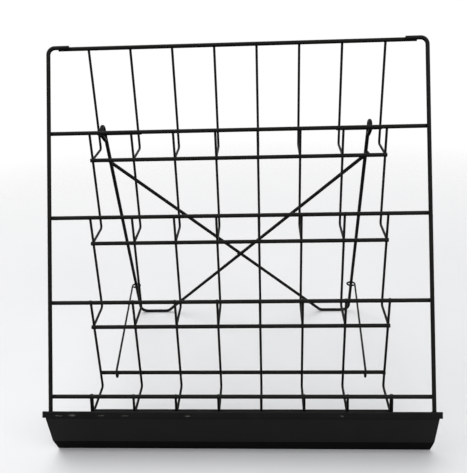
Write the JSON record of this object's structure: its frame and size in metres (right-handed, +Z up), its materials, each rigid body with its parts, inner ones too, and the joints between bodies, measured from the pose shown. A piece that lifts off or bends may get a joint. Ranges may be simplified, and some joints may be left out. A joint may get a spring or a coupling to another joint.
{
  "type": "tabletop literature rack",
  "caption": "Tabletop literature rack of welded black wire: stepped tiers of pockets over a bent sheet front, with a folding wire stand held by hooked links.",
  "frame": {"origin": "centre of the front panel's folded foot, on the table", "axes": "+X to the rack's right as a reader faces it, +Y from the front panel towards the stand, +Z up"},
  "size_m": [0.464, 0.3367, 0.4625],
  "materials": {
    "mesh_black": "satin",
    "stand_black": "satin",
    "link_black": "satin",
    "panel_black": "satin"
  },
  "bodies": {
    "rack": {"top_wire_1": "mesh_black", "top_wire_2": "mesh_black", "top_wire_3": "mesh_black", "top_wire_4": "mesh_black", "top_wire_5": "mesh_black", "top_wire_6": "mesh_black", "top_wire_7": "mesh_black", "top_wire_8": "mesh_black", "tier_1_wire_1": "mesh_black", "tier_1_wire_2": "mesh_black", "tier_1_wire_3": "mesh_black", "tier_1_wire_4": "mesh_black", "tier_1_wire_5": "mesh_black", "tier_1_wire_6": "mesh_black", "tier_1_wire_7": "mesh_black", "tier_1_wire_8": "mesh_black", "tier_2_wire_1": "mesh_black", "tier_2_wire_2": "mesh_black", "tier_2_wire_3": "mesh_black", "tier_2_wire_4": "mesh_black", "tier_2_wire_5": "mesh_black", "tier_2_wire_6": "mesh_black", "tier_2_wire_7": "mesh_black", "tier_2_wire_8": "mesh_black", "tier_3_wire_1": "mesh_black", "tier_3_wire_2": "mesh_black", "tier_3_wire_3": "mesh_black", "tier_3_wire_4": "mesh_black", "tier_3_wire_5": "mesh_black", "tier_3_wire_6": "mesh_black", "tier_3_wire_7": "mesh_black", "tier_3_wire_8": "mesh_black", "lip_wire_1": "mesh_black", "lip_wire_2": "mesh_black", "lip_wire_3": "mesh_black", "lip_wire_4": "mesh_black", "lip_wire_5": "mesh_black", "lip_wire_6": "mesh_black", "lip_wire_7": "mesh_black", "lip_wire_8": "mesh_black", "top_rod": "mesh_black", "front_rod_1": "mesh_black", "front_rod_2": "mesh_black", "front_rod_3": "mesh_black", "front_rod_4": "mesh_black", "floor_rod_1": "mesh_black", "floor_rod_2": "mesh_black", "floor_rod_3": "mesh_black", "floor_rod_4": "mesh_black", "rear_rod": "mesh_black", "left_pivot_rod": "mesh_black", "right_pivot_rod": "mesh_black", "left_upright": "mesh_black", "right_upright": "mesh_black", "front_panel": "panel_black"},
    "stand": {"left_stand_rod": "stand_black", "right_stand_rod": "stand_black"},
    "link_left": {"left_link": "link_black"},
    "link_right": {"right_link": "link_black"}
  },
  "joints": [
    {"name": "stand_fold", "type": "hinge", "parent": "rack", "child": "stand", "pos_m": [0, 0.17427, 0.35343], "axis": [-1, 0, 0], "range_deg": [0, 38]},
    {"name": "left_link_swing", "type": "hinge", "parent": "stand", "child": "link_left", "pos_m": [-0.18488, 0.28653, 0.0668], "axis": [0.6247, -0.2722, 0.7319], "range_deg": [0, 17.08]},
    {"name": "right_link_swing", "type": "hinge", "parent": "stand", "child": "link_right", "pos_m": [0.17278, 0.28653, 0.0668], "axis": [0.6247, 0.2722, -0.7319], "range_deg": [0, 17.08]}
  ],
  "couplings": [
    {"joint": "left_link_swing", "follows": "stand_fold", "ratio": 0.44822},
    {"joint": "right_link_swing", "follows": "stand_fold", "ratio": 0.44822}
  ]
}
